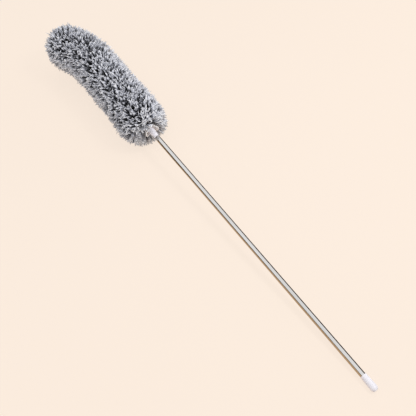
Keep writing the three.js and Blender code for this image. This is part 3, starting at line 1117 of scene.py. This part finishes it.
@dataclass
class MicrofibreHead:
    """The washable sleeve: a knitted backing full of cut yarn strands.

    Tufts are spread evenly over the pile's outline, and each holds some strands that lean together.
    A strand is a thin four-sided taper that grows from the backing and curls at its tip.
    """

    core: CoreLine
    # Where the bends are and how far they reach.
    hinges: tuple[float, ...] = (724.7, 792.3667, 860.0333)
    reach: float = 33.83
    # The pile's outline.
    start: float = 608.3
    end: float = 969.2
    radius: float = 51.0
    rear_rounding: float = 38.0
    front_rounding: float = 46.0
    rear_edge: float = 615.5
    swells: tuple[Swell, ...] = (
        Swell(875.0, 45.0, 2.79, 3.5),
        Swell(665.0, 30.0, -0.35, 4.0),
        Swell(640.0, 25.0, 2.79, -3.0),
        Swell(960.0, 22.0, -0.35, -4.0),
    )
    # The backing that the strands grow from.
    backing_start: float = 640.3
    backing_end: float = 927.7
    backing_radius: float = 9.4
    tip_start: float = 908.9
    tip_radius: float = 10.9
    backing_cloth: float = 2.7
    backing_sides: int = 60
    dome_steps: int = 10
    dome_wall: float = 0.6
    wale_height: float = 0.2
    course: float = 3.0
    # Strands round the collar lean back over the cuff: places of their tips and of their roots.
    collar_tips: tuple[float, ...] = (628.0, 646.0, 665.0, 690.0)
    collar_roots: tuple[float, ...] = (647.5, 656.5, 669.0, 690.5)
    first_root: float = 641.3
    root_depth: float = 0.6
    root_spread: float = 0.6
    root_turn: float = 0.08
    # The tufts, with the lengths and tones of the sunken ones and of the others; the sunken ones'
    # dull tone is painted shade.
    tufts: int = 3400
    strands_per_tuft: int = 3
    tuft_width: float = 3.2
    tuft_turn: float = 0.03
    outline_steps: int = 3000
    tip_gap: float = 0.05
    sunken: float = 0.26
    lengths: Pair = (0.84, 0.95)
    length_spread: float = 0.035
    length_limits: Pair = (0.7, 1.03)
    shaded_and_pale_tones: Pair = (0.3, 0.75)
    tuft_tone_spread: float = 0.12
    tone_spread: float = 0.22
    tone_limits: Pair = (0.0, 0.999)
    lean: float = 4.0
    # Stray strands are longer and thinner than the others.
    stray: float = 0.12
    stray_length: float = 0.06
    stray_thickness: float = 0.6
    # The strands' curl: how far they bow and hook, and where along them.
    bow: float = 2.2
    bow_at: float = 0.4
    bow_left: float = 0.5
    curl: float = 6.0
    curl_limits: Pair = (0.25, 1.0)
    hook_at: float = 0.86
    hook_windup: float = 0.5
    hook_back: float = 0.3
    # A direction that no strand follows, from which the directions across it are found.
    askew: Place = (0.37, 0.29, 0.88)
    # The strands' sections: sides, radii and places along the strand.
    sides: int = 4
    section_turn: float = 0.3
    thickness: tuple[float, ...] = (0.5, 1.05, 1.45, 1.28, 0.65)
    thickness_limits: Pair = (0.8, 1.2)
    rings: tuple[float, ...] = (0.0, 0.45, 0.68, 0.84, 0.95)
    # How light gets into the pile. Strands are painted darker, as shade, down to this depth, and
    # less so round the collar.
    painted_shade_depth: float = 45.0
    softness: float = 0.55
    shade_lift_from: float = 645.0
    shade_lift_reach: float = 22.0
    shade_lift_limits: Pair = (0.25, 1.0)
    # The bake's map: a column for each tone, with bare margins.
    tones: int = 32
    column_margin: float = 0.15
    row_margin: float = 0.02
    seed: int = 22
    stretches: list[Stretch] = field(init=False)

    def __post_init__(self) -> None:
        """Divides the sleeve where the bends need it."""
        cuts = [self.hinges[0] - self.reach] + [hinge + self.reach for hinge in self.hinges]
        root, lower, upper, tip = Body
        rows = (
            ("rear", (root,), ("pile_1",), ("hose_1",)),
            ("bend_1", (root, lower), ("pile_2",), ("hose_1", "hose_2")),
            ("bend_2", (lower, upper), ("pile_3",), ("hose_2", "hose_3")),
            ("bend_3", (upper, tip), (), ("hose_3", "hose_4")),
            ("front", (tip,), ("pile_4",), ("hose_4", "tip_cap")),
        )
        edges = [-math.inf, *cuts, math.inf]
        self.stretches = [
            Stretch(name, start, end, bodies, nodes, hoses)
            for (name, bodies, nodes, hoses), start, end in zip(rows, edges, edges[1:])
        ]

    def build(self) -> list[bpy.types.Object]:
        """Makes the strands and the backing of each stretch.

        Returns:
            The pieces.
        """
        strands = self.strands()
        made = []
        for stretch in self.stretches:
            made.append(self.pile(stretch, strands.between(stretch.start, stretch.end)))
            made.append(self.backing(stretch))
        return made

    def outline(self, s: np.ndarray) -> np.ndarray:
        """The pile's radius along the core.

        Args:
            s: distances along the core.

        Returns:
            The radius at each.
        """
        rear = np.clip((s - self.start) / self.rear_rounding, 0, 1)
        front = np.clip((self.end - s) / self.front_rounding, 0, 1)
        return self.radius * np.sqrt(1 - (1 - np.minimum(rear, front)) ** 2)

    def swelling(self, s: np.ndarray, phi: np.ndarray) -> np.ndarray:
        """How far the pile stands out from its even outline.

        Args:
            s: distances along the core.
            phi: angles round it.

        Returns:
            The distances, in millimetres.
        """
        rise = np.zeros_like(s)
        for swell in self.swells:
            near = np.exp(-(((s - swell.at) / swell.reach) ** 2))
            rise += swell.rise * near * np.clip(np.cos(phi - swell.side), 0, 1) ** 2
        return rise

    def backing_outline(self, s: np.ndarray) -> np.ndarray:
        """The backing's radius along the core, wider round the tip cap and closed by a dome.

        Args:
            s: distances along the core.

        Returns:
            The radius at each.
        """
        widening = (self.tip_start - self.course, self.tip_start)
        tube = np.interp(s, widening, (self.backing_radius, self.tip_radius))
        past = np.clip((s - self.backing_end) / self.tip_radius, 0, 1)
        return tube * np.sqrt(1 - past**2)

    def roots(self, s: np.ndarray) -> tuple[np.ndarray, np.ndarray]:
        """Where strands grow from, for tips at s on the outline.

        Args:
            s: the tips' distances along the core.

        Returns:
            The roots' distances along the core and from it.
        """
        tips = (self.rear_edge, *self.collar_tips, self.backing_end)
        roots = (self.first_root, *self.collar_roots, self.backing_end)
        foot = np.interp(s, tips, roots)
        centre = self.end - self.front_rounding
        angle = np.arctan2(self.outline(s), np.clip(s - centre, 0, None))
        dome = s > centre
        inside = self.backing_outline(foot) - self.root_depth
        foot = np.where(dome, self.backing_end + inside * np.cos(angle), foot)
        return foot, np.where(dome, inside * np.sin(angle), inside)

    def spots(self, draw: np.random.Generator) -> tuple[np.ndarray, np.ndarray]:
        """Spreads the tufts evenly over the outline.

        Args:
            draw: the seeded source of chance.

        Returns:
            The tufts' distances along the core and angles round it.
        """
        s = np.linspace(self.rear_edge, self.end - self.tip_gap, self.outline_steps)
        r = self.outline(s)
        area = np.cumsum(r * np.hypot(np.gradient(s), np.gradient(r)))
        order = np.arange(self.tufts)
        share = (order + draw.uniform(0, 1, self.tufts)) / self.tufts
        places = np.interp(share * area[-1], area, s)
        return places, order * GOLDEN_ANGLE + draw.normal(0, self.tuft_turn, self.tufts)

    def strands(self) -> Strands:
        """Makes every strand of the pile.

        Returns:
            The strands.
        """
        draw = np.random.default_rng(self.seed)
        tuft_s, tuft_phi = self.spots(draw)
        tuft = np.repeat(np.arange(self.tufts), self.strands_per_tuft)
        count = len(tuft)

        # Some tufts are sunken and painted dull, as shade, which leaves dark gaps between the pale
        # ones.
        low = draw.uniform(0, 1, self.tufts) < self.sunken
        tuft_length = np.where(low, *self.lengths)
        tuft_length = tuft_length + draw.normal(0, self.length_spread, self.tufts)
        tuft_tone = np.where(low, *self.shaded_and_pale_tones)
        tuft_tone = tuft_tone + draw.normal(0, self.tuft_tone_spread, self.tufts)
        tuft_lean = draw.normal(0, self.lean, (self.tufts, 2))
        stray = draw.uniform(0, 1, count) < self.stray
        length = tuft_length[tuft] + draw.normal(0, self.length_spread, count)
        length = np.clip(length, *self.length_limits)
        length = np.where(stray, length + self.stray_length, length)
        tone = tuft_tone[tuft] + draw.normal(0, self.tone_spread, count)
        tone = np.clip(tone, *self.tone_limits)

        # From root to tip, before the strand curls.
        tip_s, tip_phi = tuft_s[tuft], tuft_phi[tuft]
        root_s, root_r = self.roots(tip_s)
        root_s = root_s + draw.normal(0, self.root_spread, count)
        root_phi = tip_phi + draw.normal(0, self.root_turn, count)
        root = self.core.around(root_s, root_r, root_phi)
        tip_r = self.outline(tip_s) + self.swelling(tip_s, tip_phi)
        tip = self.core.around(tip_s, tip_r, tip_phi)
        whole = np.linalg.norm(tip - root, axis=1, keepdims=True)
        side = unit(np.cross(tip - root, np.array(self.askew)))
        rise = np.cross(unit(tip - root), side)
        turn = draw.uniform(0, 2 * math.pi, count)
        out = self.tuft_width * np.sqrt(draw.uniform(0, 1, count))
        ahead = (tuft_lean[tuft, 0] + out * np.cos(turn))[:, None]
        beside = (tuft_lean[tuft, 1] + out * np.sin(turn))[:, None]
        tip = root + (tip + ahead * side + beside * rise - root) * length[:, None]

        # The curl: a slow drift along the strand and a hook at its end.
        way = tip - root
        hook = draw.uniform(0, 2 * math.pi, count)[:, None]
        swing = np.cos(hook) * side + np.sin(hook) * rise
        swing = swing * self.curl * draw.uniform(*self.curl_limits, count)[:, None]
        bow = draw.normal(0, self.bow, (count, 2))
        drift = bow[:, :1] * side + bow[:, 1:] * rise
        back = self.hook_back * np.linalg.norm(swing, axis=1, keepdims=True) * unit(way)
        knots = (
            root,
            root + way * self.bow_at + drift,
            root + way * self.hook_at - swing * self.hook_windup + drift * self.bow_left,
            tip + swing - back,
        )
        line, course = self.curve(knots)
        thick = np.array(self.thickness) * draw.uniform(*self.thickness_limits, count)[:, None]
        thick = np.where(stray[:, None], thick * self.stray_thickness, thick)
        across = side + self.section_turn * rise
        points, facing = self.skin(line, course, across, thick, unit(way))

        # Strands round the collar lie open to the eye, so their painted shade is lifted from their
        # roots on, some more than others.
        shade_lifted = np.clip((self.shade_lift_from - tip_s) / self.shade_lift_reach, 0, 1)
        shade_lifted = (shade_lifted * draw.uniform(*self.shade_lift_limits, count))[:, None]
        u = np.array([*self.rings, 1.0])
        # Painted shade: a point's height in the pile sets how dark it is painted.
        depth = np.clip(whole * (1 - length[:, None] * u), 0, None) * (1 - shade_lifted)
        height = 1 - np.clip(depth / self.painted_shade_depth, 0, 1)
        height = np.concatenate([np.repeat(height[:, :-1], self.sides, 1), height[:, -1:]], 1)
        return Strands(points, facing, height, tone, root_s)

    def curve(self, knots: Sequence[np.ndarray]) -> tuple[np.ndarray, np.ndarray]:
        """Follows each strand's curve through its rings to its tip.

        Args:
            knots: the four control points of each strand's curve.

        Returns:
            The places along each curve and its directions there.
        """
        u = np.array([*self.rings, 1.0])[:, None]
        weights = ((1 - u) ** 3, 3 * (1 - u) ** 2 * u, 3 * (1 - u) * u**2, u**3)
        slopes = (3 * (1 - u) ** 2, 6 * (1 - u) * u, 3 * u**2)
        line = sum(w * p[:, None] for w, p in zip(weights, knots))
        course = sum(w * (b - a)[:, None] for w, a, b in zip(slopes, knots, knots[1:]))
        return line, unit(course)

    def skin(
        self,
        line: np.ndarray,
        course: np.ndarray,
        side: np.ndarray,
        thick: np.ndarray,
        way: np.ndarray,
    ) -> tuple[np.ndarray, np.ndarray]:
        """Puts rings round the strands' curves.

        Args:
            line: the places along each curve.
            course: its directions there.
            side: a direction across each strand.
            thick: the radius of each ring.
            way: each strand's direction out of the pile.

        Returns:
            Each strand's points, rings first and its tip last, and the way that each faces.
        """
        count = len(line)
        across = unit(np.cross(course, side[:, None]))
        third = np.cross(course, across)
        angle = ring_angles(self.sides)[:, None]
        aside = np.cos(angle) * across[:, :-1, None] + np.sin(angle) * third[:, :-1, None]
        body = line[:, :-1, None] + thick[:, :, None, None] * aside
        points = np.concatenate([body.reshape(count, -1, 3), line[:, -1:]], 1)
        # Light scatters through soft fibres, so a strand faces partly out of the pile all round.
        outward = way[:, None, None] * self.softness
        facing = unit(aside * (1 - self.softness) + outward).reshape(count, -1, 3)
        return points, np.concatenate([facing, course[:, -1:]], 1)

    def pile(self, stretch: Stretch, strands: Strands) -> bpy.types.Object:
        """Makes one stretch's strands as a piece.

        Args:
            stretch: the stretch.
            strands: its strands.

        Returns:
            The piece.
        """
        count, each = strands.points.shape[:2]
        one = rod_triangles(len(self.rings), self.sides, pointed=True)
        faces = (np.arange(count) * each)[:, None, None] + one
        # Strands of a tone share a column of the bake's map, from roots below to tips above.
        column = np.floor(strands.tone * self.tones)
        width = 1 - 2 * self.column_margin
        spots = self.column_margin + width * np.arange(self.sides) / (self.sides - 1)
        across = np.append(np.tile(spots, len(self.rings)), 0.5)[one]
        u = (column[:, None, None] + across) / self.tones
        v = self.row_margin + (1 - 2 * self.row_margin) * strands.height[:, one]
        maps = {BAKE_MAP: np.stack([u, v], -1).reshape(-1, 3, 2)}
        places = strands.points.reshape(-1, 3)
        piece = new_piece("pile_" + stretch.name, places, faces.reshape(-1, 3), YARN, maps)
        # The height attribute carries the painted shade; the tone is dulled as painted shade on
        # sunken tufts.
        values = {
            "height": strands.height.ravel(),
            "tone": np.repeat((column + 0.5) / self.tones, each),
        }
        for name, value in values.items():
            attribute = piece.data.attributes.new(name, "FLOAT", "POINT")
            attribute.data.foreach_set("value", value.astype(np.float32))
        facing = strands.facing.reshape(-1, 3)
        piece.data.normals_split_custom_set_from_vertices(facing.tolist())
        self.fasten(piece, stretch)
        if stretch.stands_for:
            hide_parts(*stretch.stands_for)
        return piece

    def fasten(self, piece: bpy.types.Object, stretch: Stretch) -> None:
        """Makes a piece ride with its body; a piece between two bodies only has its place baked
        into its mesh, and rides with neither.

        Args:
            piece: the piece.
            stretch: the stretch that it belongs to.
        """
        if len(stretch.bodies) == 1:
            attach(piece, stretch.bodies[0].value)
            return
        hinge = (stretch.start + stretch.end) / 2
        centre, ahead, _ = self.core.frame(np.array(hinge))
        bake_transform(piece)

    def backing(self, stretch: Stretch) -> bpy.types.Object:
        """Makes one stretch of the knitted backing as a piece.

        Args:
            stretch: the stretch.

        Returns:
            The piece.
        """
        start = max(stretch.start, self.backing_start)
        end = min(stretch.end, self.backing_end)
        steps = math.ceil((end - start) / self.course)
        outer = np.linspace(start, end, steps + 1)
        if stretch.end > self.backing_end:
            turn = np.linspace(0, math.pi / 2, self.dome_steps)[1:-1]
            outer = np.append(outer, self.backing_end + self.tip_radius * np.sin(turn))
        past = np.clip(outer - self.backing_end, 0, None)
        inner = outer - past * self.backing_cloth / self.tip_radius
        r_out = self.backing_outline(outer)
        r_in = r_out - np.minimum(self.backing_cloth, r_out * self.dome_wall)
        s = np.concatenate([outer, inner[::-1]])[:, None]
        r = np.concatenate([r_out, r_in[::-1]])[:, None]
        phi = ring_angles(self.backing_sides)
        wales = self.wale_height * np.cos(self.backing_sides / 2 * phi)
        r = r + wales * np.minimum(r / self.backing_radius, 1)
        grid = np.broadcast_to(phi, r.shape)
        rings = self.core.around(np.broadcast_to(s, r.shape), r, grid)
        faces = ring_faces(len(s), self.backing_sides)
        maps = {WEAVE_MAP: ring_map(rings)}
        name = "backing_" + stretch.name
        piece = new_piece(name, rings.reshape(-1, 3), faces, BACKING_KNIT, maps)
        self.fasten(piece, stretch)
        return piece


@dataclass
class Lamp:
    """A soft box."""

    name: str
    place: Place
    aim: Place
    size: Pair
    power: float

    def build(self) -> None:
        """Hangs the lamp, turned to its aim; polished surfaces show the cards in its place."""
        data = bpy.data.lights.new(self.name, "AREA")
        data.shape = "RECTANGLE"
        data.size, data.size_y = (side * MM for side in self.size)
        data.energy = self.power
        lamp = bpy.data.objects.new(self.name, data)
        bpy.context.scene.collection.objects.link(lamp)
        lamp.location = Vector(self.place) * MM
        way = Vector(self.aim) - Vector(self.place)
        lamp.rotation_euler = way.to_track_quat("-Z", "Y").to_euler()
        lamp.visible_glossy = False


@dataclass
class Card:
    """A glowing card that the eye meets only in polished and glossy surfaces, as a painted
    reflection.

    Two of its edges run along the pole, over the same stretch of x. Each is given by its y, and by
    its heights at the stretch's two ends.
    """

    name: str
    finish: PaintedReflectionCard
    stretch: Pair
    edge: Place
    far_edge: Place

    def build(self) -> None:
        """Stands or lays the card in its place."""
        corners = []
        for (y, *heights), way in ((self.edge, 1), (self.far_edge, -1)):
            corners += [(x, y, z) for x, z in list(zip(self.stretch, heights))[::way]]
        card = new_object(self.name, np.array(corners), np.array([[0, 1, 2, 3]]), self.finish)
        card.visible_camera = card.visible_diffuse = False
        card.visible_shadow = card.visible_transmission = False


@dataclass
class Studio:
    """The camera, the paper floor, the lamps, the cards and the backdrop."""

    # The camera was fitted to the photograph.
    eye: Place = (-20.73, 333.29, 898.15)
    right: Place = (-0.59099, -0.80668, 0.0)
    up: Place = (0.69189, -0.50690, 0.51415)
    lens: float = 50.0
    sensor: float = 36.0
    clip: Pair = (0.01, 100.0)
    # The duster lies on the pile's underside and on the foot of its cap.
    rest_front: Place = (646.0, 0.0, -51.6)
    rest_foot: Place = (4.0, 0.0, -6.4)
    floor_rings: tuple[float, ...] = (1350.0, 3600.0, 9000.0)
    floor_sides: int = 64
    backdrop: str = PAPER.colour
    sky: str = "#fffaf4"
    sky_strength: float = 0.27
    lamps: tuple[Lamp, ...] = (
        Lamp("top soft box", (700.0, -100.0, 1500.0), (700.0, -100.0, 0.0), (3200.0, 2800.0), 25.0),
        Lamp("key soft box", (-62.0, -602.0, 1326.0), (600.0, 0.0, 0.0), (350.0, 350.0), 7.0),
        Lamp("left fill", (500.0, 1500.0, 500.0), (750.0, 0.0, 0.0), (1500.0, 900.0), 4.5),
        Lamp("right fill", (500.0, -1500.0, 700.0), (600.0, 0.0, 0.0), (1500.0, 900.0), 6.0),
    )
    # Glowing cards, seen only in reflections, paint the polished tube's reflections. White cards
    # above and at both sides paint its bright bands, the brown ones below them its dark lines, and
    # the tan ones on and by the floor its warm edge, a painted reflection of the floor in shade.
    cards: tuple[Card, ...] = (
        Card("top white card", WHITE_CARD, WIDE, (-1500.0, TOP, TOP), (1350.0, TOP, TOP)),
        Card("left white card", WHITE_CARD, WIDE, (1600.0, 1200.0, 650.0), (1350.0, TOP, TOP)),
        Card("left brown card", BROWN_CARD, WIDE, (1600.0, LOW, LOW), (1600.0, 1200.0, 650.0)),
        Card("right white card", WHITE_CARD, HALF, (-1600.0, 1480.0, 60.0), (-1500.0, TOP, TOP)),
        Card("right brown card", BROWN_CARD, HALF, (-1600.0, LOW, LOW), (-1600.0, 1480.0, 60.0)),
        Card(
            "right brown floor card",
            BROWN_CARD,
            (-300.0, 1500.0),
            (-1600.0, 15.6, -111.0),
            (-20.0, 15.6, -111.0),
        ),
        Card("tan floor card", TAN_CARD, (-300.0, 550.0), (2.0, 15.6, -44.2), (900.0, 15.6, -44.2)),
        Card(
            "dark tan floor card",
            DARK_TAN_CARD,
            (550.0, 1500.0),
            (2.0, -44.2, -111.0),
            (900.0, -44.2, -111.0),
        ),
        Card(
            "tan standing card",
            TAN_CARD,
            (-300.0, 1100.0),
            (900.0, 15.6, -82.9),
            (900.0, 450.0, -70.0),
        ),
    )

    def build(self) -> None:
        """Sets up the whole studio."""
        bpy.context.scene.view_settings.view_transform = "Standard"
        self.camera()
        self.floor()
        for item in (*self.lamps, *self.cards):
            item.build()
        self.world()

    def camera(self) -> None:
        """Puts the camera at the photograph's viewing angle."""
        data = bpy.data.cameras.new("camera")
        data.lens, data.sensor_width = self.lens, self.sensor
        data.clip_start, data.clip_end = self.clip
        camera = bpy.data.objects.new("camera", data)
        bpy.context.scene.collection.objects.link(camera)
        right, up = Vector(self.right), Vector(self.up)
        turn = Matrix((right, up, right.cross(up))).transposed().to_4x4()
        camera.matrix_world = Matrix.Translation(Vector(self.eye) * MM) @ turn
        bpy.context.scene.camera = camera

    def floor(self) -> None:
        """Lays a round sheet of paper under the duster's two resting places."""
        front, foot = np.array(self.rest_front), np.array(self.rest_foot)
        ahead, aside = unit(front - foot), np.array([0.0, 1.0, 0.0])
        sides = self.floor_sides
        phi = ring_angles(sides)[:, None]
        circle = np.cos(phi) * ahead + np.sin(phi) * aside
        points = np.concatenate([np.zeros((1, 3)), *(r * circle for r in self.floor_rings)])
        first = 1 + np.arange(sides)
        beside = 1 + (np.arange(sides) + 1) % sides
        faces = [np.stack([0 * first, first, beside], -1)]
        for ring in range(len(self.floor_rings) - 1):
            a, b = ring * sides, (ring + 1) * sides
            faces.append(np.stack([a + first, b + first, b + beside], -1))
            faces.append(np.stack([a + first, b + beside, a + beside], -1))
        floor = new_object("paper floor", points, np.concatenate(faces), PAPER)
        floor.location = Vector((front + foot) / 2) * MM

    def world(self) -> None:
        """Fills the room with soft light and shows the backdrop to the eye."""
        world = bpy.data.worlds.new("studio")
        bpy.context.scene.world = world
        world.use_nodes = True
        tree = world.node_tree
        tree.nodes.clear()
        lit = {"Color": linear(self.sky), "Strength": self.sky_strength}
        room = add_node(tree, "Background", lit)
        shown = add_node(tree, "Background", {"Color": linear(self.backdrop), "Strength": 1.0})
        mixed = add_node(tree, "MixShader", {"Fac": seen_rays(tree), 1: room, 2: shown})
        add_node(tree, "OutputWorld", {"Surface": mixed})


def main() -> None:
    """Builds the studio, then the duster's sub-assemblies in order, and reports each piece."""
    logging.basicConfig(level=logging.INFO, format="%(name)s: %(message)s")
    Studio().build()
    core = CoreLine()
    for assembly in (Pole(), CollarAssembly(core), BendableCore(), MicrofibreHead(core)):
        kind = type(assembly).__name__
        for piece in assembly.build():
            finish = piece.data.materials[0].name
            log.info("%s: %s in %s, %d faces", kind, piece.name, finish, len(piece.data.polygons))


if __name__ == "__main__":
    main()
